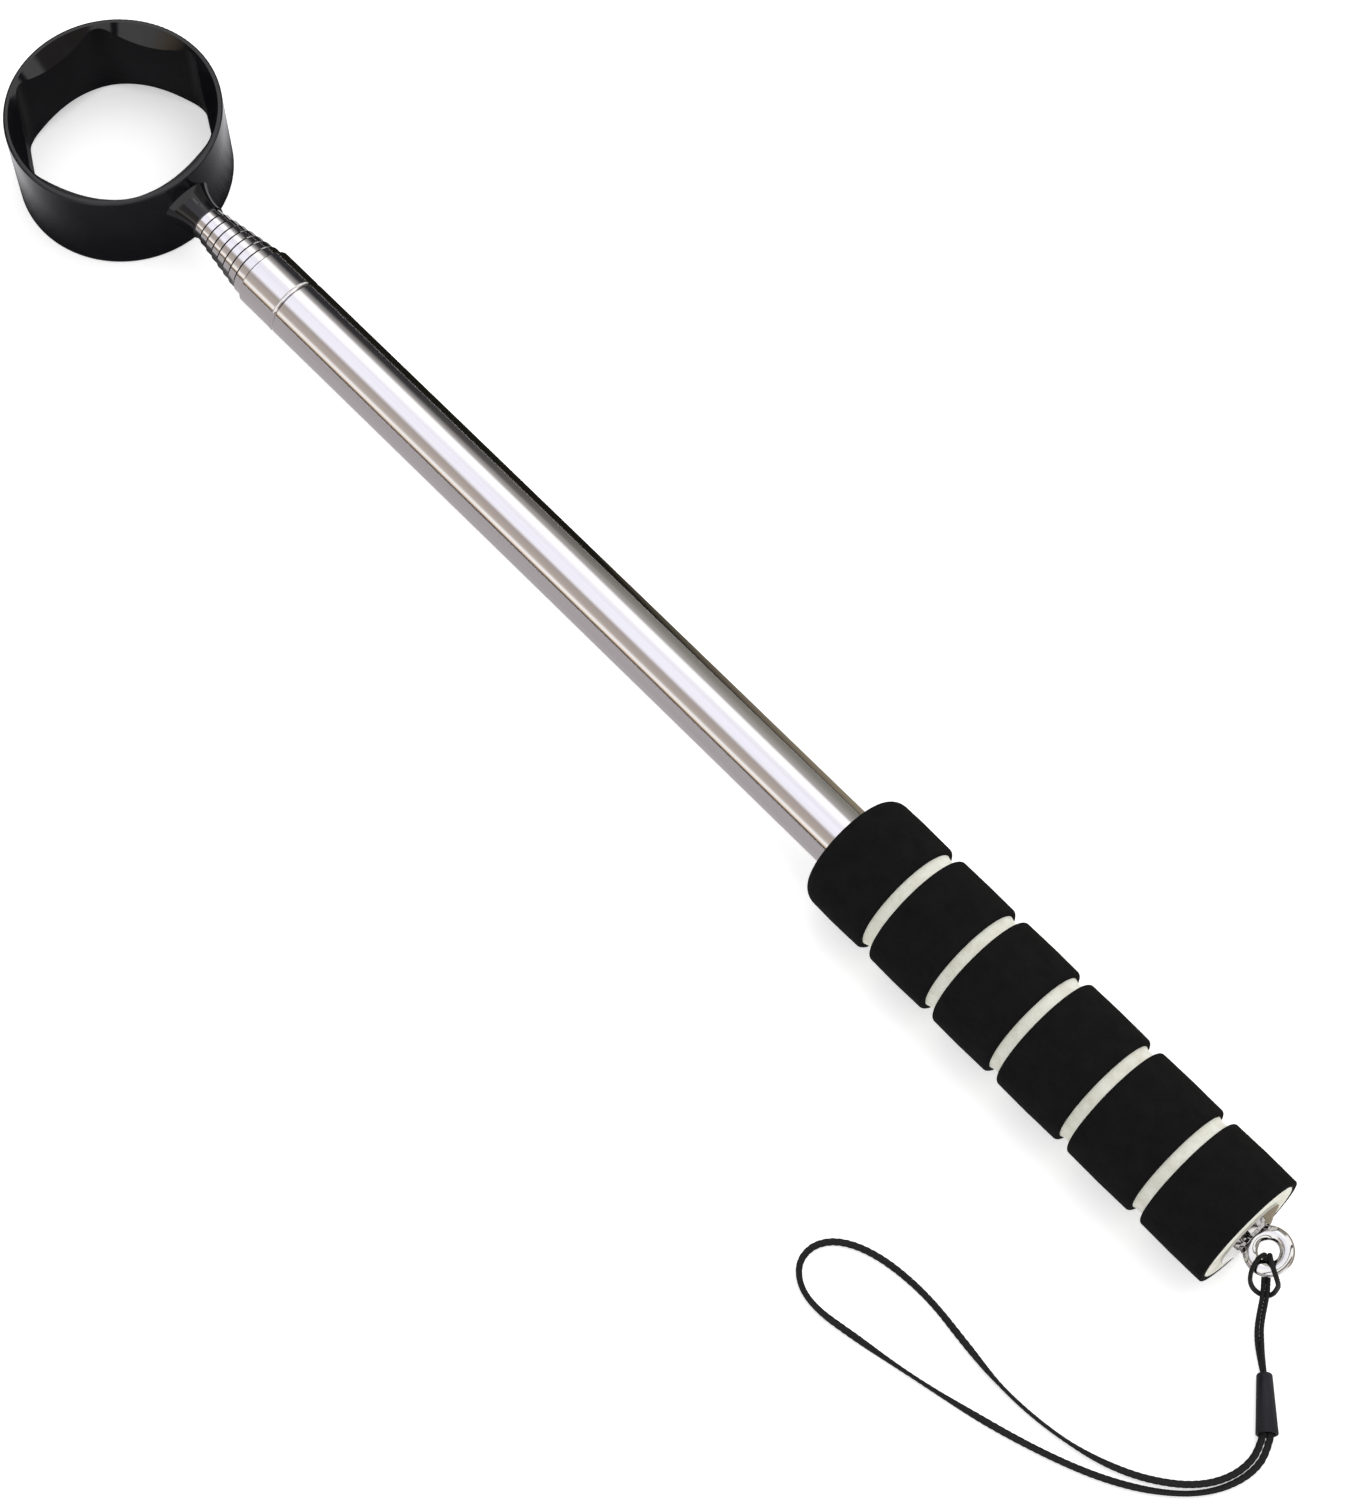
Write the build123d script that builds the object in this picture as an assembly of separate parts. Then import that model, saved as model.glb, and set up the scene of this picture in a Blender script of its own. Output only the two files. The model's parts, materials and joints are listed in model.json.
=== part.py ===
from build123d import *
import math
import os

# Telescopic golf ball retriever, closed, lying on a flat surface.
# Millimetres. +X runs along the pole from the strap eye to the catch hoop, +Z is up.
# The origin is under the middle of the closed length, on the surface it lies on.

# ---- overall ----
closed_length = 400.0

# ---- catch hoop: a ring with a rounded hexagonal hole that grips a 42.67 mm ball ----
hoop_od = 50.8
hoop_height = 25.4
hoop_across_flats = 42.4
hoop_corner_radius = 5.0
hoop_rim_width = 1.1
hoop_lead_in_depth = 4.15
hoop_rim_rounding = 0.45
cone_overrun = 1.0          # lead-in cones are drawn on past rim and flats, to cut clean scallops
stem_reach = 6.7            # from the hoop's outer wall to the stem's tip
stem_base_od = 13.2
stem_shoulder = 0.34        # radial, the stem's tip over the tip tube
flare_waist_place = 0.28    # share of the reach, from the wall, where the flare is measured
flare_waist_swell = 0.28    # share of the flare that is left there
stud_thread_od = 5.0
stud_thread_length = 7.0
stud_plug_length = 10.0
thread_end_gap = 0.4

# ---- telescopic pole ----
sliding_tubes = 8
outer_tube_od = 15.0
outer_tube_wall = 0.55
tube_wall = 0.20
tube_gap = 0.18             # radial room between one tube and the next
mouth_clearance = 0.04      # radial, where a rolled mouth guides the next tube
mouth_roll_length = 1.6
mouth_taper = 0.5           # length over which a rolled mouth is drawn in at its end
mouth_edge = 0.05           # radial thickness left at its very end
mouth_step = 2.43           # each mouth stands this far behind the next smaller one
outer_mouth_step = 2.8
tip_exposed = 2.1
crimp_from_mouth = 11.5
crimp_width = 1.5
crimp_depth = 0.35

# ---- friction sleeves at the base of each sliding tube ----
sleeve_length = 18.0
sleeve_clearance = 0.03     # radial, to the tube inside it and to the bore around it
sleeve_end_gap = 0.10
sleeve_slot = 1.2
base_lip_length = 1.0
lip_clearance = 0.04
stop_gap = 0.3              # left between bead and rolled mouth when fully drawn out

# ---- butt end ----
plug_length = 12.5
plug_recess = 0.5
tube_rest_gap = 0.5
cap_overlap = 0.9           # radial, the cap over the end of the outer tube
cap_edge = 0.5
cap_shoulder_depth = 1.2
cap_shoulder_inset = 2.3
cap_top_od = 9.8
cap_height = 1.8
cap_dish_od = 8.4
cap_dish_depth = 1.3
cap_hole_clearance = 0.05
eye_od = 10.8
eye_wire = 3.2
eye_turn = 15.0             # degrees the eye's ring is turned about the pole
shank_od = 4.0
shank_tip_gap = 1.0
eye_stand_off = 0.2         # grip's rear face to the near side of the ring

# ---- foam grip ----
grip_od = 28.8
groove_depth = 1.4
groove_width = 3.0
band_lengths = (18.0, 16.1, 16.2, 17.8, 18.2, 17.7)
nose_thickness = 3.0
nose_rounding = 4.0
band_rounding = 0.8
butt_rounding = 0.3

# ---- lanyard ----
lanyard_od = 0.8
wrist_cord_od = 1.5
bead_top_od = 3.4
bead_bottom_od = 4.8
bead_length = 13.1
bead_rounding = 0.7
bead_from_eye = 22.3        # along the surface, from the middle of the eye to the bead's top

# ---- places worked out from the sizes ----
axis_z = grip_od / 2
hoop_x = closed_length / 2 - hoop_od / 2
stem_tip_x = hoop_x - hoop_od / 2 - stem_reach
eye_x = -closed_length / 2 + eye_od / 2
grip_rear_x = eye_x + eye_od / 2 + eye_stand_off
grip_length = sum(band_lengths) + groove_width * (len(band_lengths) - 1)
grip_front_x = grip_rear_x + grip_length
plug_rear_x = grip_rear_x + plug_recess
plug_front_x = plug_rear_x + plug_length
tube_base_x = plug_front_x + tube_rest_gap
bead_zone = base_lip_length + sleeve_length + 2 * sleeve_end_gap


def tube_radius(stage):
    """Outer radius of sliding tube 1 (the tip) to 8 (the largest); 9 is the outer tube."""
    if stage > sliding_tubes:
        return outer_tube_od / 2
    largest = outer_tube_od / 2 - outer_tube_wall - tube_gap
    return largest - (sliding_tubes - stage) * (tube_wall + tube_gap)


def wall_of(stage):
    return outer_tube_wall if stage > sliding_tubes else tube_wall


def mouth_x(stage):
    """Where a tube ends at the hoop side with the pole closed."""
    if stage == 1:
        return stem_tip_x
    steps = (min(stage, sliding_tubes) - 2) * mouth_step
    extra = outer_mouth_step if stage > sliding_tubes else 0.0
    return stem_tip_x - tip_exposed - steps - extra


def turned(*outline):
    """Solid of revolution about the pole's axis, from points (x, radius)."""
    face = make_face(Polyline(*[(x, 0, r) for x, r in outline], close=True))
    return Pos(0, 0, axis_z) * revolve(face, Axis.X)


def ring(inner_r, outer_r, x_from, x_to):
    return turned((x_from, inner_r), (x_to, inner_r), (x_to, outer_r), (x_from, outer_r))


def round_rims(shape, x, radius, r):
    """Round the circular edge of one radius at one place along the pole."""
    rims = [e for e in shape.edges().filter_by(GeomType.CIRCLE)
            if abs(e.radius - r) < 1e-4 and abs(e.arc_center.X - x) < 1e-4]
    return fillet(rims, radius)


# ---- hoop ----
def make_hoop():
    standing = (Align.CENTER, Align.CENTER, Align.MIN)
    body = Pos(hoop_x, 0, 0) * Cylinder(hoop_od / 2, hoop_height, align=standing)
    body = fillet(body.edges().filter_by(GeomType.CIRCLE), hoop_rim_rounding)
    # the stem flares into the wall like a trumpet
    wall_x = hoop_x - hoop_od / 2
    root_x = wall_x + hoop_rim_width
    tip_r = tube_radius(1) + stem_shoulder
    base_r = stem_base_od / 2
    waist = (wall_x - stem_reach * flare_waist_place, 0, tip_r + (base_r - tip_r) * flare_waist_swell)
    core = Polyline((stem_tip_x, 0, 0), (root_x, 0, 0), (root_x, 0, base_r))
    trumpet = ThreePointArc((root_x, 0, base_r), waist, (stem_tip_x, 0, tip_r))
    tip = Line((stem_tip_x, 0, tip_r), (stem_tip_x, 0, 0))
    stem = Pos(0, 0, axis_z) * revolve(make_face([*core.edges(), trumpet, tip]), Axis.X)
    body = body + stem

    flats = extrude(RegularPolygon(hoop_across_flats / 2, 6, major_radius=False, rotation=30), hoop_height)
    flats = fillet(flats.edges().filter_by(Axis.Z), hoop_corner_radius)
    rim_r = hoop_od / 2 - hoop_rim_width
    # lead-in cones, drawn on past the flats so that they meet them in scallops
    slope = (rim_r - hoop_across_flats / 2) / hoop_lead_in_depth
    cone_low_r = hoop_across_flats / 2 - slope * cone_overrun
    cone_top_r = rim_r + slope * cone_overrun
    lead_in = Cone(cone_low_r, cone_top_r, hoop_lead_in_depth + 2 * cone_overrun, align=standing)
    cone_foot = hoop_lead_in_depth + cone_overrun
    upper = Pos(hoop_x, 0, hoop_height - cone_foot) * lead_in
    lower = Pos(hoop_x, 0, cone_foot) * Rot(180, 0, 0) * lead_in
    hole = Pos(hoop_x, 0, 0) * flats + upper + lower
    bore_depth = stud_thread_length + thread_end_gap
    bore = ring(0, stud_thread_od / 2, stem_tip_x, stem_tip_x + bore_depth)
    return body - hole - bore


def make_head_stud():
    """Turned plug crimped in the tip tube, with the thread that the hoop screws onto."""
    plug_r = tube_radius(1) - tube_wall
    plug = ring(0, plug_r, stem_tip_x - stud_plug_length, stem_tip_x)
    thread = ring(0, stud_thread_od / 2, stem_tip_x, stem_tip_x + stud_thread_length)
    return plug + thread


# ---- pole ----
def make_sliding_tube(stage):
    """Thin tube with a base lip and a bead that hold the sleeve, and a rolled-in mouth."""
    outer = tube_radius(stage)
    inner = outer - tube_wall
    lip = tube_radius(stage + 1) - wall_of(stage + 1) - lip_clearance
    bead_x = tube_base_x + bead_zone
    front = mouth_x(stage)
    outline = [(tube_base_x, inner), (tube_base_x, lip), (tube_base_x + base_lip_length, lip),
               (tube_base_x + base_lip_length, outer), (bead_x, outer), (bead_x, lip),
               (bead_x + base_lip_length, lip), (bead_x + base_lip_length, outer)]
    if stage == 1:
        outline += [(front, outer), (front, inner)]
    else:
        mouth = tube_radius(stage - 1) + mouth_clearance
        outline += [(front - mouth_taper, outer), (front, mouth + mouth_edge), (front, mouth),
                    (front - mouth_roll_length / 2, mouth), (front - mouth_roll_length, inner)]
    return turned(*outline)


def make_outer_tube():
    outer = tube_radius(sliding_tubes + 1)
    inner = outer - outer_tube_wall
    mouth = tube_radius(sliding_tubes) + mouth_clearance
    front = mouth_x(sliding_tubes + 1)
    roll = mouth_roll_length
    tube = turned((grip_rear_x, inner), (grip_rear_x, outer), (front - mouth_taper, outer),
                  (front, mouth + mouth_edge), (front, mouth), (front - roll / 2, mouth), (front - roll, inner))
    crimp_r = crimp_width / 2
    crimp_tool = Rot(0, 90, 0) * Torus(outer + crimp_r - crimp_depth, crimp_r)
    groove = Pos(front - crimp_from_mouth, 0, axis_z) * crimp_tool
    return tube - groove


def make_friction_sleeve(stage):
    inner = tube_radius(stage) + sleeve_clearance
    outer = tube_radius(stage + 1) - wall_of(stage + 1) - sleeve_clearance
    start = tube_base_x + base_lip_length + sleeve_end_gap
    sleeve = ring(inner, outer, start, start + sleeve_length)
    slot_cut = Box(2 * sleeve_length, sleeve_slot, outer, align=(Align.CENTER, Align.CENTER, Align.MIN))
    return sleeve - Pos(start, 0, axis_z) * slot_cut


# ---- butt end ----
def make_end_plug():
    return ring(shank_od / 2, tube_radius(sliding_tubes + 1) - outer_tube_wall, plug_rear_x, plug_front_x)


def make_end_cap():
    top_x = grip_rear_x - cap_height
    floor_x = top_x + cap_dish_depth
    hole_r = shank_od / 2 + cap_hole_clearance
    base_r = outer_tube_od / 2 + cap_overlap
    shoulder_x = grip_rear_x - cap_shoulder_depth
    return turned((grip_rear_x, hole_r), (grip_rear_x, base_r), (grip_rear_x - cap_edge, base_r),
                  (shoulder_x, base_r - cap_shoulder_inset), (top_x, cap_top_od / 2),
                  (top_x, cap_dish_od / 2), (floor_x, cap_dish_od / 2), (floor_x, hole_r))


def make_screw_eye():
    ring_r = (eye_od - eye_wire) / 2
    eye = Pos(eye_x, 0, axis_z) * Rot(-eye_turn, 0, 0) * Torus(ring_r, eye_wire / 2)
    shank = ring(0, shank_od / 2, eye_x + ring_r, plug_front_x - shank_tip_gap)
    return eye + shank


# ---- grip ----
def band_start(number):
    """Rear-most band is the last; bands are counted from the front."""
    rear_bands = band_lengths[number:]
    return grip_rear_x + sum(rear_bands) + groove_width * len(rear_bands)


def make_grip_core():
    core_r = grip_od / 2 - groove_depth
    return ring(outer_tube_od / 2, core_r, grip_rear_x, grip_front_x - nose_thickness)


def make_grip_band(number):
    """Black foam skin; the first one wraps over the front of the core."""
    skin_r = grip_od / 2 - groove_depth
    outer = grip_od / 2
    rear = band_start(number)
    front = rear + band_lengths[number - 1]
    if number == 1:
        nose_x = front - nose_thickness
        tube_r = outer_tube_od / 2
        band = turned((rear, skin_r), (nose_x, skin_r), (nose_x, tube_r),
                      (front, tube_r), (front, outer), (rear, outer))
        band = round_rims(band, front, nose_rounding, outer)
    else:
        band = ring(skin_r, outer, rear, front)
        band = round_rims(band, front, band_rounding, outer)
    rear_radius = butt_rounding if number == len(band_lengths) else band_rounding
    return round_rims(band, rear, rear_radius, outer)


# ---- lanyard: thin cord looped on the eye, tapered bead, wrist loop lying on the surface ----
lanyard_way = Vector(-0.714, 0.700, 0)
lanyard_side = Vector(-0.700, -0.714, 0)

# (along the way out, sideways, height) from the middle of the eye
lanyard_half_a = [
    (23.1, -0.1, -13.15), (20.7, -0.35, -13.85), (18.1, -0.8, -13.9), (15.4, -1.2, -13.5),
    (12.9, -1.3, -12.3), (10.6, -1.05, -10.6), (8.5, -0.7, -8.7), (6.7, -0.5, -6.9), (4.9, -0.5, -5.6),
    (3.1, -0.45, -4.4), (1.6, -0.5, -3.0), (0.8, -0.6, -1.2), (0.8, -1.0, 0.9), (2.2, -2.5, 2.3),
    (3.8, -3.6, 2.1), (5.1, -4.0, 0.4), (5.9, -3.8, -2.0), (6.4, -3.0, -4.6), (6.7, -1.8, -6.8),
    (6.8, -0.6, -8.4)]
lanyard_half_b = [
    (7.1, 0.6, -8.4), (7.1, 1.6, -6.8), (6.8, 2.0, -4.6), (6.7, 2.1, -2.0), (6.0, 1.3, 0.9),
    (4.2, 0.4, 2.5), (2.2, 0.0, 2.3), (0.9, 0.1, 0.9), (0.8, 0.4, -1.2), (1.6, 0.5, -3.0),
    (3.1, 0.55, -4.4), (4.9, 0.5, -5.6), (6.7, 0.5, -6.9), (8.5, 0.3, -8.6), (10.6, -0.05, -10.5),
    (12.9, -0.3, -12.2), (15.4, -0.2, -13.2), (18.1, -0.2, -13.1), (20.7, -0.1, -12.9), (23.1, 0.0, -12.2)]

wrist_points = [
    (-220.2, 23.9, 2.3), (-222.4, 27.4, 1.5), (-223.1, 31.7, 0.95), (-222.2, 36.6, 0.8), (-219.9, 41.6, 0.8),
    (-215.8, 46.6, 0.8), (-208.8, 52.2, 0.8), (-199.1, 57.5, 0.8), (-185.8, 62.5, 0.8), (-170.9, 66.7, 0.8),
    (-157.0, 69.9, 0.8), (-146.1, 72.0, 0.8), (-137.8, 73.5, 0.8), (-131.8, 72.8, 0.8), (-127.6, 69.6, 0.8),
    (-126.7, 65.0, 0.8), (-129.0, 60.6, 0.8), (-134.2, 57.3, 0.8), (-141.8, 55.3, 0.8), (-152.2, 54.7, 0.8),
    (-163.8, 56.1, 0.8), (-174.9, 57.2, 0.8), (-186.2, 56.6, 0.8), (-197.2, 54.4, 0.8), (-206.7, 50.6, 0.8),
    (-214.0, 45.6, 0.8), (-218.3, 40.9, 0.8), (-220.6, 36.3, 0.8), (-221.4, 31.9, 0.95), (-220.8, 28.0, 1.6),
    (-219.0, 24.9, 2.3)]


def lanyard_points():
    eye = Vector(eye_x, 0, axis_z)
    return [eye + lanyard_way * u + lanyard_side * s + Vector(0, 0, h)
            for u, s, h in lanyard_half_a + lanyard_half_b]


def cord_tube(name, points, diameter):
    """Round tube along straight runs joined by tangent arcs as large as the runs allow."""
    points = [Vector(*p) if isinstance(p, tuple) else p for p in points]
    radii = []
    for before, here, after in zip(points, points[1:], points[2:]):
        turn = math.radians((here - before).get_angle(after - here))
        shorter = min((here - before).length, (after - here).length)
        radii.append(0.45 * shorter / math.tan(turn / 2))
    path = FilletPolyline(*points, radius=radii)
    tube = sweep(Plane(origin=path @ 0, z_dir=path % 0) * Circle(diameter / 2), path)
    share = tube.volume / (math.pi * diameter ** 2 / 4 * path.length)
    print(name, "length", round(path.length, 1), "volume share", round(share, 4))
    print(name, "radii", [round(r, 1) for r in radii])
    return tube


def make_cord_bead():
    """Tapered sleeve lying on its side, both cords ending in it."""
    top = Vector(eye_x, 0, 0) + lanyard_way * bead_from_eye
    top_r = bead_top_od / 2
    bottom_r = bead_bottom_od / 2
    lie = math.asin((bottom_r - top_r) / bead_length)
    profile = Polyline((0, 0, 0), (bead_length, 0, 0), (bead_length, 0, bottom_r), (0, 0, top_r), close=True)
    bead = revolve(make_face(profile), Axis.X)
    ends = bead.edges().filter_by(GeomType.CIRCLE)
    bead = fillet([e for e in ends if e.arc_center.X < bead_length / 2], bead_rounding)
    along = lanyard_way * math.cos(lie) + Vector(0, 0, math.sin(lie))
    centre = top + Vector(0, 0, top_r / math.cos(lie))
    seat = Plane(origin=centre, x_dir=along, z_dir=along.cross(lanyard_side))
    return seat.location * bead


nodes = {
    "catch_hoop": make_hoop(),
    "head_stud": make_head_stud(),
    "outer_tube": make_outer_tube(),
    "end_plug": make_end_plug(),
    "end_cap": make_end_cap(),
    "screw_eye": make_screw_eye(),
    "grip_core": make_grip_core(),
    "lanyard_cord": cord_tube("lanyard_cord", lanyard_points(), lanyard_od),
    "cord_bead": make_cord_bead(),
    "wrist_loop": cord_tube("wrist_loop", wrist_points, wrist_cord_od),
}
for stage in range(1, sliding_tubes + 1):
    nodes[f"sliding_tube_{stage}"] = make_sliding_tube(stage)
    nodes[f"friction_sleeve_{stage}"] = make_friction_sleeve(stage)
for number in range(1, len(band_lengths) + 1):
    nodes[f"grip_band_{number}"] = make_grip_band(number)

os.makedirs("parts", exist_ok=True)
for name, shape in nodes.items():
    export_step(shape, f"parts/{name}.step")

for stage in range(sliding_tubes, 0, -1):
    reach = mouth_x(stage + 1) - mouth_roll_length - tube_base_x - bead_zone - base_lip_length - stop_gap
    print("travel of sliding_tube", stage, round(reach, 2), "outer radius", round(tube_radius(stage), 3))
print("mouths", [round(mouth_x(s), 2) for s in range(1, sliding_tubes + 2)])
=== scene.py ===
import json
import math

import bpy
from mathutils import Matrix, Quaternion, Vector, noise


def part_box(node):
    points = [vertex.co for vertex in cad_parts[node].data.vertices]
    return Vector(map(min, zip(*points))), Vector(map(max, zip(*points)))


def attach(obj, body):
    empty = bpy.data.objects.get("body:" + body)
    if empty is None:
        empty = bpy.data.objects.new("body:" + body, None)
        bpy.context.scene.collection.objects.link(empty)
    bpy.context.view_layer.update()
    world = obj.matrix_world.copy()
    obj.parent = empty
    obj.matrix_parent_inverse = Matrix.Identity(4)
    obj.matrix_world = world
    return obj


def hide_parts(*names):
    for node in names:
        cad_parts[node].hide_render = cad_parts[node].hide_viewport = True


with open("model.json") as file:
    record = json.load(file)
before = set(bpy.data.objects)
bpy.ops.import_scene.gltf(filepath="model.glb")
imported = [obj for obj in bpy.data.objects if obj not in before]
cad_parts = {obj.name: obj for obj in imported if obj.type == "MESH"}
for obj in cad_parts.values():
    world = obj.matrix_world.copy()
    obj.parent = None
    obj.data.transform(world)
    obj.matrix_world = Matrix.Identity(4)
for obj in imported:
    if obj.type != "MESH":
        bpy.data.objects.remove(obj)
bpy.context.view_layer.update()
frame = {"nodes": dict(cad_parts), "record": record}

# A telescopic golf ball retriever, closed, lying on a pale floor.
# Metres. +X runs along the pole to the hoop, +Z is up, the floor is z = 0.

MM = 0.001


def middle(node):
    low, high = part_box(node)
    return (low + high) / 2


AXIS = Vector((0, 0, middle("outer_tube").z))
TUBE_RADIUS = (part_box("outer_tube")[1].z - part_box("outer_tube")[0].z) / 2
GRIP_RADIUS = (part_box("grip_band_2")[1].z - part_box("grip_band_2")[0].z) / 2
CORE_RADIUS = (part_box("grip_core")[1].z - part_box("grip_core")[0].z) / 2
EYE = Vector(next(m["pos_m"] for m in frame["record"]["mounts"] if m["name"] == "strap_eye"))


# ---- camera ----
def add_camera():
    """Looks down on the retriever from its strap end, with a long lens."""
    target = Vector((-0.02484, 0.00686, 0))
    distance = 0.87157
    elevation = math.radians(66.20)
    bearing = math.radians(136.88)
    level = math.cos(elevation)
    way = Vector((level * math.cos(bearing), level * math.sin(bearing), math.sin(elevation)))
    data = bpy.data.cameras.new("camera")
    data.lens = 94.41
    camera = bpy.data.objects.new("camera", data)
    camera.location = target + way * distance
    camera.rotation_euler = (-way).to_track_quat("-Z", "Y").to_euler()
    bpy.context.collection.objects.link(camera)
    bpy.context.scene.camera = camera


add_camera()


# ---- node helpers ----
class Paint:
    """A material's node tree, with short calls for the nodes used here."""

    def __init__(self, name):
        self.material = bpy.data.materials.new(name)
        self.material.use_nodes = True
        self.nodes = self.material.node_tree.nodes
        self.links = self.material.node_tree.links
        self.shader = self.nodes["Principled BSDF"]

    def set(self, **values):
        for name, value in values.items():
            self.shader.inputs[name.replace("_", " ")].default_value = value

    def join(self, source, target):
        self.links.new(source, target)

    def node(self, kind, **inputs):
        made = self.nodes.new(kind)
        for name, value in inputs.items():
            made.inputs[name.replace("_", " ")].default_value = value
        return made

    def place(self, scale=(1, 1, 1), uv=False):
        """Object coordinates, or the mesh's own UVs in metres, stretched by scale."""
        coordinates = self.nodes.new("ShaderNodeTexCoord")
        mapping = self.nodes.new("ShaderNodeMapping")
        mapping.inputs["Scale"].default_value = scale
        self.join(coordinates.outputs["UV" if uv else "Object"], mapping.inputs["Vector"])
        return mapping.outputs["Vector"]

    def noise(self, where, scale, detail=4, roughness=0.5):
        made = self.node("ShaderNodeTexNoise", Scale=scale, Detail=detail, Roughness=roughness)
        self.join(where, made.inputs["Vector"])
        return made.outputs["Fac"]

    def cells(self, where, scale, feature="F1"):
        made = self.node("ShaderNodeTexVoronoi", Scale=scale)
        made.feature = feature
        self.join(where, made.inputs["Vector"])
        return made.outputs["Distance"]

    def ramp(self, factor, stops):
        made = self.nodes.new("ShaderNodeValToRGB")
        elements = made.color_ramp.elements
        while len(elements) < len(stops):
            elements.new(0.5)
        for element, (place, colour) in zip(elements, stops):
            element.position = place
            element.color = (*colour, 1)
        self.join(factor, made.inputs["Fac"])
        return made.outputs["Color"]

    def span(self, factor, low, high):
        """A factor from 0..1 spread to low..high."""
        made = self.nodes.new("ShaderNodeMapRange")
        made.inputs["To Min"].default_value = low
        made.inputs["To Max"].default_value = high
        self.join(factor, made.inputs["Value"])
        return made.outputs["Result"]

    def maths(self, operation, first, second):
        made = self.nodes.new("ShaderNodeMath")
        made.operation = operation
        for socket, value in zip(made.inputs, (first, second)):
            if isinstance(value, (int, float)):
                socket.default_value = value
            else:
                self.join(value, socket)
        return made.outputs["Value"]

    def bump(self, height, distance, strength=1.0, under=None):
        made = self.node("ShaderNodeBump", Strength=strength, Distance=distance)
        self.join(height, made.inputs["Height"])
        if under is not None:
            self.join(under, made.inputs["Normal"])
        self.join(made.outputs["Normal"], self.shader.inputs["Normal"])
        return made.outputs["Normal"]

    def colour(self, source):
        self.join(source, self.shader.inputs["Base Color"])

    def roughness(self, source):
        self.join(source, self.shader.inputs["Roughness"])


# ---- materials ----
def gloss_black_plastic():
    paint = Paint("gloss_black_plastic")
    where = paint.place()
    paint.set(Specular_IOR_Level=0.35)
    dark, light = (0.004, 0.004, 0.005), (0.007, 0.0065, 0.008)
    paint.colour(paint.ramp(paint.noise(where, 90), [(0.3, dark), (0.7, light)]))
    paint.roughness(paint.span(paint.noise(where, 260, 6), 0.05, 0.12))
    paint.bump(paint.noise(where, 45, 2), 0.25 * MM, 0.12)
    return paint.material


def polished_steel(name, colour, smooth, streak):
    """Steel drawn and polished along its length, so its marks run along X."""
    paint = Paint(name)
    paint.set(Metallic=1.0)
    drawn = paint.place((6, 500, 500))
    fine = paint.noise(drawn, 1.6, 5, 0.6)
    dark = tuple(c * 0.94 for c in colour)
    paint.colour(paint.ramp(fine, [(0.3, dark), (0.7, colour)]))
    blotches = paint.noise(paint.place(), 70, 3)
    paint.roughness(paint.span(paint.maths("MULTIPLY", blotches, fine), smooth, smooth + 0.12))
    paint.bump(fine, 0.02 * MM, streak)
    return paint.material


def bright_chrome():
    paint = Paint("bright_chrome")
    paint.set(Metallic=1.0)
    where = paint.place()
    paint.colour(paint.ramp(paint.noise(where, 300), [(0.3, (0.54, 0.53, 0.52)), (0.7, (0.60, 0.59, 0.58))]))
    paint.roughness(paint.span(paint.noise(where, 900, 5), 0.05, 0.14))
    paint.bump(paint.noise(where, 500, 3), 0.05 * MM, 0.10)
    return paint.material


def turned_steel():
    paint = Paint("turned_steel_marks")
    paint.set(Metallic=1.0)
    rings = paint.noise(paint.place((2600, 4, 4)), 1.0, 3)
    paint.colour(paint.ramp(rings, [(0.3, (0.42, 0.42, 0.42)), (0.7, (0.60, 0.60, 0.60))]))
    paint.roughness(paint.span(rings, 0.22, 0.40))
    paint.bump(rings, 0.03 * MM, 0.4)
    return paint.material


def sprung_brass():
    paint = Paint("sprung_brass")
    paint.set(Metallic=1.0)
    rolled = paint.noise(paint.place((9, 600, 600)), 1.0, 4)
    paint.colour(paint.ramp(rolled, [(0.3, (0.52, 0.36, 0.13)), (0.7, (0.66, 0.48, 0.20))]))
    paint.roughness(paint.span(rolled, 0.25, 0.45))
    paint.bump(rolled, 0.02 * MM, 0.3)
    return paint.material


def foam(name, dark, light, cell_depth):
    """Closed-cell foam: fine cells over soft mottling, with no shine."""
    paint = Paint(name)
    paint.set(Specular_IOR_Level=0.06)
    where = paint.place()
    mottle = paint.noise(where, 260, 5, 0.65)
    paint.colour(paint.ramp(mottle, [(0.25, dark), (0.75, light)]))
    paint.roughness(paint.span(mottle, 0.82, 0.98))
    cells = paint.cells(where, 3400)
    grain = paint.noise(where, 1500, 3, 0.6)
    under = paint.bump(cells, cell_depth, 0.45)
    paint.bump(grain, cell_depth, 0.35, under)
    return paint.material


def braided_fabric():
    """Black braid: threads cross on the cord's own UVs."""
    paint = Paint("black_braid")
    paint.set(Specular_IOR_Level=0.16, Sheen_Weight=0.03, Sheen_Roughness=0.4)
    threads = paint.noise(paint.place((9000, 1800, 1), uv=True), 1.0, 3)
    paint.colour(paint.ramp(threads, [(0.3, (0.004, 0.004, 0.004)), (0.75, (0.011, 0.011, 0.011))]))
    paint.roughness(paint.span(threads, 0.50, 0.72))
    paint.bump(threads, 0.04 * MM, 0.5)
    return paint.material


def satin_bead():
    paint = Paint("satin_bead")
    where = paint.place()
    paint.set(Specular_IOR_Level=0.18)
    dark, light = (0.007, 0.007, 0.010), (0.011, 0.011, 0.015)
    paint.colour(paint.ramp(paint.noise(where, 500), [(0.3, dark), (0.7, light)]))
    paint.roughness(paint.span(paint.noise(where, 1400, 4), 0.34, 0.50))
    paint.bump(paint.noise(where, 2500, 3), 0.02 * MM, 0.3)
    return paint.material


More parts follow.
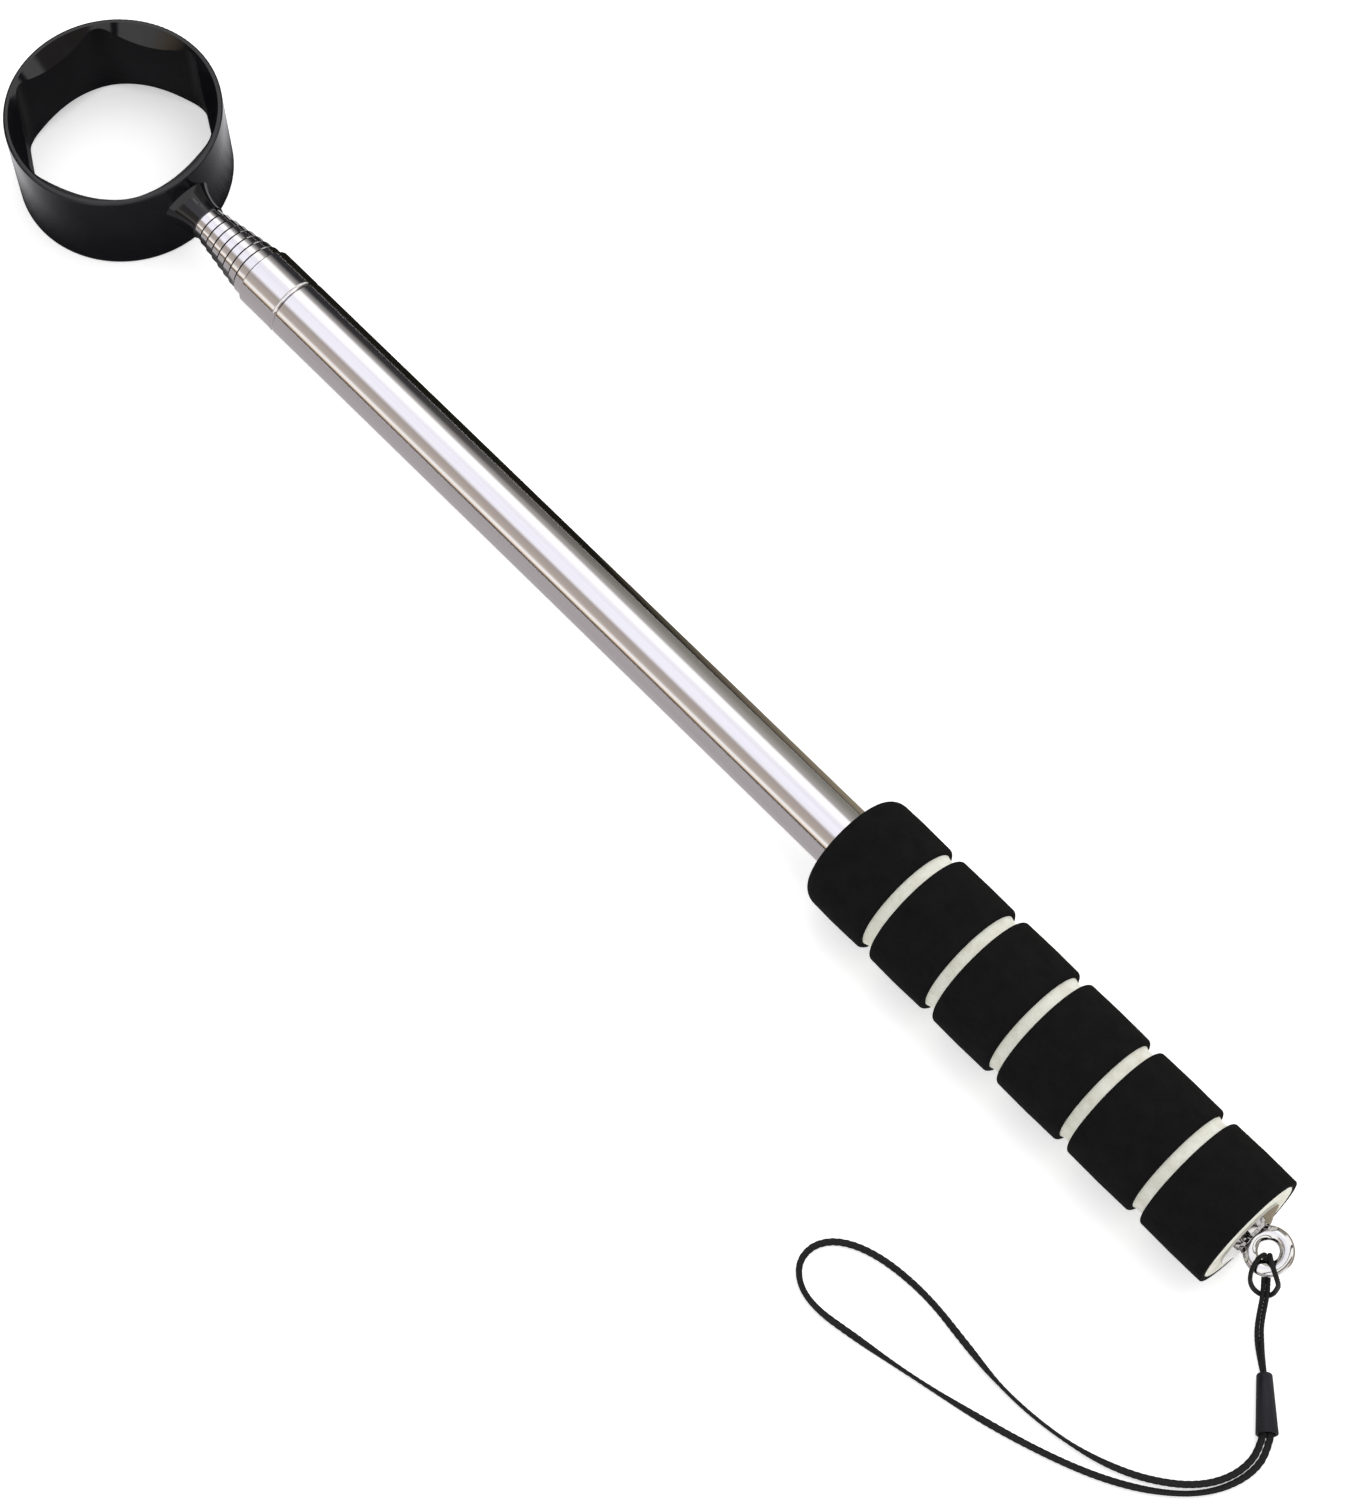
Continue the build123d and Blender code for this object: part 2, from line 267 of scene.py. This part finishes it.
BLACK_PLASTIC = gloss_black_plastic()
STEEL = polished_steel("polished_steel", (0.63, 0.61, 0.605), 0.10, 0.25)
CHROME = bright_chrome()
TURNED = turned_steel()
BRASS = sprung_brass()
BLACK_FOAM = foam("black_foam_skin", (0.0035, 0.0035, 0.0035), (0.0070, 0.0070, 0.0070), 0.06 * MM)
PALE_FOAM = foam("pale_foam_core", (0.66, 0.65, 0.54), (0.86, 0.86, 0.79), 0.12 * MM)
BRAID = braided_fabric()
BEAD = satin_bead()

NODE_PAINT = {"catch_hoop": BLACK_PLASTIC, "head_stud": TURNED, "end_plug": TURNED, "end_cap": CHROME,
              "screw_eye": CHROME}
for node, shown in frame["nodes"].items():
    if node.startswith(("sliding_tube", "outer_tube")):
        NODE_PAINT[node] = STEEL
    if node.startswith("friction_sleeve"):
        NODE_PAINT[node] = BRASS
    if node in NODE_PAINT:
        for place in shown.material_slots:
            place.material = NODE_PAINT[node]


# ---- mesh helpers ----
def new_piece(name, points, faces, uvs, material, sharp=38):
    """A mesh object with UVs in metres, smooth but for its sharp edges."""
    mesh = bpy.data.meshes.new(name)
    mesh.from_pydata([tuple(p) for p in points], [], faces)
    layer = mesh.uv_layers.new(name="metres")
    for loop, uv in zip(layer.data, uvs):
        loop.uv = uv
    mesh.shade_smooth()
    mesh.set_sharp_from_angle(angle=math.radians(sharp))
    mesh.materials.append(material)
    piece = bpy.data.objects.new(name, mesh)
    bpy.context.collection.objects.link(piece)
    return piece


def wrapped(name, rings, material, closed_ends=False, looped=False, sharp=38):
    """Skin over rings of points, each ring closed; looped joins the last ring to the first."""
    count = len(rings[0])
    points = [p for ring in rings for p in ring]
    faces, uvs = [], []
    along = [0.0]
    for before, here in zip(rings, rings[1:] + rings[:1]):
        along.append(along[-1] + (here[0] - before[0]).length)
    girth = sum((b - a).length for a, b in zip(rings[0], rings[0][1:]))
    around = [i / count * girth for i in range(count + 1)]
    spans = len(rings) if looped else len(rings) - 1
    for i in range(spans):
        j = (i + 1) % len(rings)
        for k in range(count):
            m = (k + 1) % count
            faces.append((i * count + k, i * count + m, j * count + m, j * count + k))
            uvs += [(around[k], along[i]), (around[k + 1], along[i]),
                    (around[k + 1], along[i + 1]), (around[k], along[i + 1])]
    if closed_ends:
        for start, order in ((0, -1), ((len(rings) - 1) * count, 1)):
            faces.append(tuple(range(start, start + count))[::order])
            uvs += [(0, 0)] * count
    return new_piece(name, points, faces, uvs, material, sharp)


def arc(centre, radius, start, end, steps=8):
    """Points (x, r) along an arc, in degrees, 0 towards +X and 90 outwards."""
    angles = [math.radians(start + (end - start) * i / steps) for i in range(steps + 1)]
    return [(centre[0] + radius * math.cos(a), centre[1] + radius * math.sin(a)) for a in angles]


def subdivided(outline, longest):
    """The closed outline with its long runs cut into shorter ones."""
    cut = []
    for (x0, r0), (x1, r1) in zip(outline, outline[1:] + outline[:1]):
        parts = max(1, math.ceil(math.hypot(x1 - x0, r1 - r0) / longest))
        cut += [(x0 + (x1 - x0) * i / parts, r0 + (r1 - r0) * i / parts) for i in range(parts)]
    return cut


def turned(name, outline, origin, axis, material, wobble=None, segments=160, sharp=38):
    """A closed outline of (distance along axis, radius) turned about the axis."""
    out = axis.orthogonal().normalized()
    rings = []
    for x, r in outline:
        ring = []
        for i in range(segments):
            side = Quaternion(axis, 2 * math.pi * i / segments) @ out
            point = origin + axis * x + side * r
            ring.append(point if wobble is None else wobble(point, side))
        rings.append(ring)
    return wrapped(name, rings, material, looped=True, sharp=sharp)


# ---- cords ----
# along the way out, sideways and up, from the middle of the eye
LANYARD_WAY = Vector((-0.714, 0.700, 0))
LANYARD_SIDE = Vector((-0.700, -0.714, 0))
LANYARD_HALF_A = [
    (0.0231, -0.0001, -0.01315), (0.0207, -0.00035, -0.01385), (0.0181, -0.0008, -0.0139),
    (0.0154, -0.0012, -0.0135), (0.0129, -0.0013, -0.0123), (0.0106, -0.00105, -0.0106),
    (0.0085, -0.0007, -0.0087), (0.0067, -0.0005, -0.0069), (0.0049, -0.0005, -0.0056),
    (0.0031, -0.00045, -0.0044), (0.0016, -0.0005, -0.003), (0.0008, -0.0006, -0.0012),
    (0.0008, -0.001, 0.0009), (0.0022, -0.0025, 0.0023), (0.0038, -0.0036, 0.0021),
    (0.0051, -0.004, 0.0004), (0.0059, -0.0038, -0.002), (0.0064, -0.003, -0.0046),
    (0.0067, -0.0018, -0.0068), (0.0068, -0.0006, -0.0084)]
LANYARD_HALF_B = [
    (0.0071, 0.0006, -0.0084), (0.0071, 0.0016, -0.0068), (0.0068, 0.002, -0.0046),
    (0.0067, 0.0021, -0.002), (0.006, 0.0013, 0.0009), (0.0042, 0.0004, 0.0025),
    (0.0022, 0, 0.0023), (0.0009, 0.0001, 0.0009), (0.0008, 0.0004, -0.0012),
    (0.0016, 0.0005, -0.003), (0.0031, 0.00055, -0.0044), (0.0049, 0.0005, -0.0056),
    (0.0067, 0.0005, -0.0069), (0.0085, 0.0003, -0.0086), (0.0106, -0.00005, -0.0105),
    (0.0129, -0.0003, -0.0122), (0.0154, -0.0002, -0.0132), (0.0181, -0.0002, -0.0131),
    (0.0207, -0.0001, -0.0129), (0.0231, 0, -0.0122)]
LANYARD_POINTS = [EYE + LANYARD_WAY * u + LANYARD_SIDE * s + Vector((0, 0, h))
                  for u, s, h in LANYARD_HALF_A + LANYARD_HALF_B]
WRIST_POINTS = [
    (-0.2202, 0.0239, 0.0023), (-0.2224, 0.0274, 0.0015), (-0.2231, 0.0317, 0.00095),
    (-0.2222, 0.0366, 0.0008), (-0.2199, 0.0416, 0.0008), (-0.2158, 0.0466, 0.0008),
    (-0.2088, 0.0522, 0.0008), (-0.1991, 0.0575, 0.0008), (-0.1858, 0.0625, 0.0008),
    (-0.1709, 0.0667, 0.0008), (-0.157, 0.0699, 0.0008), (-0.1461, 0.072, 0.0008),
    (-0.1378, 0.0735, 0.0008), (-0.1318, 0.0728, 0.0008), (-0.1276, 0.0696, 0.0008),
    (-0.1267, 0.065, 0.0008), (-0.129, 0.0606, 0.0008), (-0.1342, 0.0573, 0.0008),
    (-0.1418, 0.0553, 0.0008), (-0.1522, 0.0547, 0.0008), (-0.1638, 0.0561, 0.0008),
    (-0.1749, 0.0572, 0.0008), (-0.1862, 0.0566, 0.0008), (-0.1972, 0.0544, 0.0008),
    (-0.2067, 0.0506, 0.0008), (-0.214, 0.0456, 0.0008), (-0.2183, 0.0409, 0.0008),
    (-0.2206, 0.0363, 0.0008), (-0.2214, 0.0319, 0.00095), (-0.2208, 0.028, 0.0016),
    (-0.219, 0.0249, 0.0023)]


def route_line(points):
    """The smooth line of a cord's route: a NURBS spline with the points as its controls."""
    curve = bpy.data.curves.new("route", "CURVE")
    curve.dimensions = "3D"
    curve.resolution_u = 24
    spline = curve.splines.new("NURBS")
    spline.points.add(len(points) - 1)
    for control, point in zip(spline.points, points):
        control.co = (*point, 1)
    spline.order_u = 3
    spline.use_endpoint_u = True
    holder = bpy.data.objects.new("route", curve)
    bpy.context.collection.objects.link(holder)
    bpy.context.view_layer.update()
    mesh = bpy.data.meshes.new_from_object(holder)
    line = [v.co.copy() for v in mesh.vertices]
    bpy.data.objects.remove(holder)
    return line


def evenly(line, step):
    """Points a step apart along a line."""
    lengths = [(b - a).length for a, b in zip(line, line[1:])]
    total = sum(lengths)
    count = round(total / step)
    spaced, i, passed = [], 0, 0.0
    for k in range(count + 1):
        want = min(total * k / count, total - 1e-9)
        while passed + lengths[i] < want:
            passed += lengths[i]
            i += 1
        spaced.append(line[i].lerp(line[i + 1], (want - passed) / lengths[i]))
    return spaced


def braided_cord(name, line, width, thickness, side, turn_at, plait, relief, across=24):
    """A flat braid swept along the line; turn_at gives its roll at a share of the length."""
    rings = []
    count = len(line)
    step = (line[1] - line[0]).length
    tangent = (line[1] - line[0]).normalized()
    side = (side - tangent * side.dot(tangent)).normalized()
    for i, point in enumerate(line):
        ahead = (line[min(i + 1, count - 1)] - line[max(i - 1, 0)]).normalized()
        side = tangent.rotation_difference(ahead) @ side
        side = (side - ahead * side.dot(ahead)).normalized()
        tangent = ahead
        wide = Quaternion(tangent, turn_at(i / (count - 1))) @ side
        thin = tangent.cross(wide)
        ring = []
        for k in range(across):
            a = 2 * math.pi * k / across
            # strands cross in two helices; the higher one lies on top
            phase = 2 * math.pi * i * step / plait
            left = math.cos(3 * a + phase)
            right = math.cos(3 * a - phase)
            swell = 1 + relief * max(left, right) - relief
            sideways = wide * (width / 2 * math.cos(a) * swell)
            ring.append(point + sideways + thin * (thickness / 2 * math.sin(a) * swell))
        rings.append(ring)
    return wrapped(name, rings, BRAID, closed_ends=True, sharp=80)


LANYARD_WIDTH = 1.12 * MM
WRIST_WIDTH = 1.6 * MM


def wrist_roll(t):
    """How far the wrist braid is rolled, in radians; it lies flat at both ends."""
    return (0.9 * math.sin(14 * t) + 0.5 * math.sin(31 * t)) * min(1.0, 8 * t, 8 * (1 - t))


def add_cords():
    lanyard_line = evenly(route_line(LANYARD_POINTS), 0.10 * MM)
    wrist_line = evenly(route_line(WRIST_POINTS), 0.12 * MM)
    lanyard = braided_cord("lanyard_cord_braid", lanyard_line, LANYARD_WIDTH, 1.0 * MM, LANYARD_SIDE,
                           lambda t: 9 * t, 0.9 * MM, 0.05, across=18)
    wrist = braided_cord("wrist_loop_braid", wrist_line, WRIST_WIDTH, 0.85 * MM, LANYARD_SIDE,
                         wrist_roll, 1.5 * MM, 0.05)
    bead = add_bead()
    for piece, node in ((lanyard, "lanyard_cord"), (wrist, "wrist_loop"), (bead, "cord_bead")):
        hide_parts(node)
        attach(piece, "handle")


def add_bead():
    """Tapered sleeve: rounded closed top with the lanyard in it, open bottom with the loop in it."""
    length = 13.1 * MM
    from_eye = 22.3 * MM
    top_r = 1.7 * MM
    bottom_r = 2.4 * MM
    lie = math.asin((bottom_r - top_r) / length)
    top = Vector((EYE.x, 0, 0)) + LANYARD_WAY * from_eye + Vector((0, 0, top_r / math.cos(lie)))
    axis = LANYARD_WAY.normalized() * math.cos(lie) + Vector((0, 0, math.sin(lie)))
    rounding = 0.7 * MM
    wall = 0.5 * MM
    hole_r = 0.8 * MM
    pocket = 2.5 * MM
    outline = [(0.25 * MM, 0), (0.25 * MM, hole_r), (0, hole_r + 0.15 * MM)]
    outline += arc((rounding, top_r - rounding), rounding, 180, 100)
    outline += [(length - 0.1 * MM, bottom_r), (length, bottom_r - 0.1 * MM), (length, bottom_r - wall),
                (length - pocket, bottom_r - wall), (length - pocket, 0)]
    return turned("cord_bead_sleeve", outline, top, axis, BEAD, segments=64, sharp=50)


add_cords()


# ---- foam grip ----
def foam_wobble(amount, grain, seed):
    """Cut foam is never quite true: slow waves and a finer unevenness, both outwards."""
    shift = Vector((seed * 3.7, seed * 1.3, seed * 7.1))

    def moved(point, side):
        slow = noise.noise(point * 60 + shift)
        fine = noise.noise(point * 900 + shift)
        return point + side * (amount * slow + grain * fine)
    return moved


def add_band(number, last):
    """A band of the black skin. The first wraps over the front, the last is cut square."""
    low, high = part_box(f"grip_band_{number}")
    edge = 0.8 * MM
    crown = 0.10 * MM
    outer = GRIP_RADIUS - 0.05 * MM
    inner = CORE_RADIUS
    if number == 1:
        nose = 4.0 * MM
        neck = TUBE_RADIUS + 0.05 * MM
        nose_back = high.x - 3.0 * MM
        lip = 0.3 * MM
        outline = [(low.x, inner), (nose_back, inner), (nose_back, neck), (high.x - lip, neck),
                   (high.x, neck + lip)]
        outline += arc((high.x - nose, outer - nose), nose, 0, 90, 14)
    else:
        outline = [(low.x, inner), (high.x, inner)]
        outline += arc((high.x - edge, outer - edge), edge, 0, 90)
    outline.append(((low.x + high.x) / 2, outer + crown))
    rear = 0.3 * MM if number == last else edge
    outline += arc((low.x + rear, outer - rear), rear, 90, 180)
    band = turned(f"foam_band_{number}", subdivided(outline, 0.7 * MM), AXIS, Vector((1, 0, 0)), BLACK_FOAM,
                  foam_wobble(0.10 * MM, 0.02 * MM, number), sharp=60)
    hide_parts(f"grip_band_{number}")
    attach(band, "handle")


def add_core(bands):
    """The pale foam under the skin, cut a little hollow at each groove."""
    low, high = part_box("grip_core")
    hollow = 0.35 * MM
    bore = TUBE_RADIUS + 0.02 * MM
    radius = CORE_RADIUS - 0.03 * MM
    outline = [(low.x, bore), (low.x, radius - 0.3 * MM), (low.x + 0.3 * MM, radius)]
    for number in range(bands, 1, -1):
        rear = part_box(f"grip_band_{number}")[1].x
        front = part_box(f"grip_band_{number - 1}")[0].x
        width = front - rear
        outline += [(rear + width * i / 6, radius - hollow * math.sin(math.pi * i / 6)) for i in range(7)]
    outline += [(high.x, radius), (high.x, bore)]
    core = turned("foam_core", subdivided(outline, 0.7 * MM), AXIS, Vector((1, 0, 0)), PALE_FOAM,
                  foam_wobble(0.04 * MM, 0.03 * MM, 9), sharp=60)
    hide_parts("grip_core")
    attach(core, "handle")


band_count = sum(node.startswith("grip_band") for node in frame["nodes"])
for number in range(1, band_count + 1):
    add_band(number, band_count)
add_core(band_count)


# ---- studio ----
def glow_sheet(name, columns, rows, glow):
    """A grid of points whose glow is interpolated; glossy surfaces see it, and nothing else does."""
    points = [point for column in columns for point in column]
    faces = []
    for i in range(len(columns) - 1):
        for j in range(rows - 1):
            k = i * rows + j
            faces.append((k, k + 1, k + rows + 1, k + rows))
    mesh = bpy.data.meshes.new(name)
    mesh.from_pydata(points, [], faces)
    layer = mesh.color_attributes.new("glow", "FLOAT_COLOR", "POINT")
    for place, colour in zip(layer.data, glow):
        place.color = (*colour, 1)
    material = bpy.data.materials.new(f"{name}_glow")
    material.use_nodes = True
    nodes = material.node_tree.nodes
    nodes.clear()
    tint = nodes.new("ShaderNodeVertexColor")
    tint.layer_name = "glow"
    emission = nodes.new("ShaderNodeEmission")
    output = nodes.new("ShaderNodeOutputMaterial")
    material.node_tree.links.new(tint.outputs["Color"], emission.inputs["Color"])
    material.node_tree.links.new(emission.outputs["Emission"], output.inputs["Surface"])
    mesh.materials.append(material)
    sheet = bpy.data.objects.new(name, mesh)
    bpy.context.collection.objects.link(sheet)
    sheet.visible_camera = False
    sheet.visible_diffuse = False
    sheet.visible_shadow = False
    sheet.visible_transmission = False


def add_floor():
    """Pale paper that glows a little, as paper lit from all round does."""
    material = bpy.data.materials.new("floor_paper")
    material.use_nodes = True
    shader = material.node_tree.nodes["Principled BSDF"]
    shader.inputs["Base Color"].default_value = (0.92, 0.92, 0.92, 1)
    shader.inputs["Roughness"].default_value = 0.9
    shader.inputs["Specular IOR Level"].default_value = 0.0
    shader.inputs["Emission Color"].default_value = (1, 1, 1, 1)
    shader.inputs["Emission Strength"].default_value = 0.45
    size = 6.0
    mesh = bpy.data.meshes.new("floor")
    corners = [(-size, -size, 0), (size, -size, 0), (size, size, 0), (-size, size, 0)]
    mesh.from_pydata(corners, [], [(0, 1, 2, 3)])
    mesh.materials.append(material)
    floor = bpy.data.objects.new("floor", mesh)
    floor.location.z = -0.05 * MM
    bpy.context.collection.objects.link(floor)


# A vault of softboxes and walls over the pole: degrees from straight up towards +Y, and glow.
VAULT = [(-90, (0.30, 0.29, 0.26)), (-64, (0.42, 0.41, 0.38)), (-44, (0.62, 0.61, 0.60)),
         (-36, (1.75, 1.75, 1.80)), (-12, (1.75, 1.75, 1.80)), (-6, (1.35, 1.36, 1.50)),
         (0, (1.35, 1.36, 1.50)), (5, (1.45, 1.46, 1.65)), (28, (1.45, 1.46, 1.62)),
         (38, (0.58, 0.52, 0.48)), (58, (0.70, 0.62, 0.57)), (64, (0.75, 0.68, 0.62)),
         (71, (1.5, 1.5, 1.5)), (76, (1.5, 1.5, 1.5)), (80, (1.25, 0.95, 0.66)), (84, (0.10, 0.08, 0.07)),
         (90, (0.10, 0.08, 0.07))]
VAULT_RADIUS = 1.2
DARK = (0.04, 0.04, 0.045)
WHITE = (1.6, 1.6, 1.62)
BROWN = (0.34, 0.30, 0.26)


def vault_point(x, degrees, radius):
    a = math.radians(degrees)
    return (x, radius * math.sin(a), AXIS.z + radius * math.cos(a))


def add_vault():
    """White past the strap end with a dark stripe and brown beyond, dark past the hoop, and dark low
    down on its -Y side near the hoop."""
    stops = [(-4.0, "brown"), (-1.9, "brown"), (-1.6, "white"), (-0.95, "white"), (-0.90, "dark"),
             (-0.76, "dark"), (-0.70, "white"), (-0.22, "white"), (-0.12, "plain"), (0.40, "plain"),
             (0.58, "dark_foot"), (0.98, "dark_foot"), (1.08, "dark"), (2.5, "dark")]
    flat = {"white": WHITE, "dark": DARK, "brown": BROWN}
    columns, glow = [], []
    for x, look in stops:
        columns.append([vault_point(x, degrees, VAULT_RADIUS) for degrees, colour in VAULT])
        for degrees, colour in VAULT:
            foot = look == "dark_foot" and degrees < -60
            glow.append(DARK if foot else flat.get(look, colour))
    # closed at the hoop end
    columns.append([vault_point(stops[-1][0], degrees, 0.001) for degrees, colour in VAULT])
    glow += [DARK] * len(VAULT)
    glow_sheet("vault", columns, len(VAULT), glow)


def add_strip_lights():
    """Narrow bright strips inside the vault's white band, for the sharp highlights on rims."""
    for number, (start, end, low, high) in enumerate([(0.02, 0.30, -24, -21), (0.42, 0.62, -31, -28)]):
        columns = [[vault_point(x, degrees, VAULT_RADIUS - 0.05) for degrees in (low, high)]
                   for x in (start, end)]
        glow_sheet(f"strip_light_{number + 1}", columns, 2, [(4, 4, 4)] * 4)


def add_dark_card():
    """Lies beside the pole on its -Y side and darkens that edge of the steel."""
    near = -TUBE_RADIUS - 1.0 * MM
    far = -1.1
    height = 0.4 * MM
    stops = [(-0.30, (0.42, 0.36, 0.27)), (-0.06, (0.36, 0.31, 0.23)), (0.03, (0.015, 0.014, 0.010)),
             (3.0, (0.015, 0.014, 0.010))]
    columns = [[(x, near, height), (x, far, height)] for x, colour in stops]
    glow_sheet("dark_card", columns, 2, [colour for x, colour in stops for side in range(2)])


def add_grey_card():
    """Lies beside the pole on its +Y side and takes the edge off the floor's white there."""
    near = TUBE_RADIUS + 1.0 * MM
    grey = (0.60, 0.57, 0.59)
    columns = [[(x, near, 0.4 * MM), (x, 1.1, 0.4 * MM)] for x in (-0.30, 3.0)]
    glow_sheet("grey_card", columns, 2, [grey] * 4)


def add_hoop_card():
    """A dark disc under the hoop, lighter towards both sides, which its upright walls reflect."""
    low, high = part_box("catch_hoop")
    outside = (high.y - low.y) / 2
    rings = [(0.0, 0.05), (0.7, 0.09), (1.0, 0.02), (1.25, 0.05), (1.7, 0.14)]
    columns, glow = [], []
    turns = 48
    lift = 0.6 * MM
    for i in range(turns + 1):
        a = 2 * math.pi * i / turns
        # 0 between the pole and its +Y side, 1 square to that and beyond
        aside = min(1.0, abs(math.remainder(a - math.radians(150), 2 * math.pi)) / math.radians(88)) ** 4
        columns.append([(high.x - outside + share * outside * math.cos(a), share * outside * math.sin(a),
                         lift) for share, value in rings])
        for share, value in rings:
            lit = value + (0.9 - value) * aside if share > 1 else value
            glow.append((lit * 0.97, lit * 0.97, lit))
    glow_sheet("hoop_card", columns, len(rings), glow)


def add_key_light():
    data = bpy.data.lights.new("key", "AREA")
    data.energy = 9.0
    data.size = 1.4
    key = bpy.data.objects.new("key", data)
    key.location = (0.1, -0.7, 1.3)
    key.rotation_euler = (Vector((0, 0, 0)) - key.location).to_track_quat("-Z", "Y").to_euler()
    key.visible_glossy = False
    bpy.context.collection.objects.link(key)


def add_world():
    world = bpy.data.worlds.new("studio")
    world.use_nodes = True
    shade = world.node_tree.nodes["Background"]
    shade.inputs["Color"].default_value = (1.0, 1.0, 1.0, 1)
    shade.inputs["Strength"].default_value = 0.85
    bpy.context.scene.world = world


add_floor()
add_vault()
add_strip_lights()
add_dark_card()
add_grey_card()
add_hoop_card()
add_key_light()
add_world()
bpy.context.scene.view_settings.view_transform = "Standard"
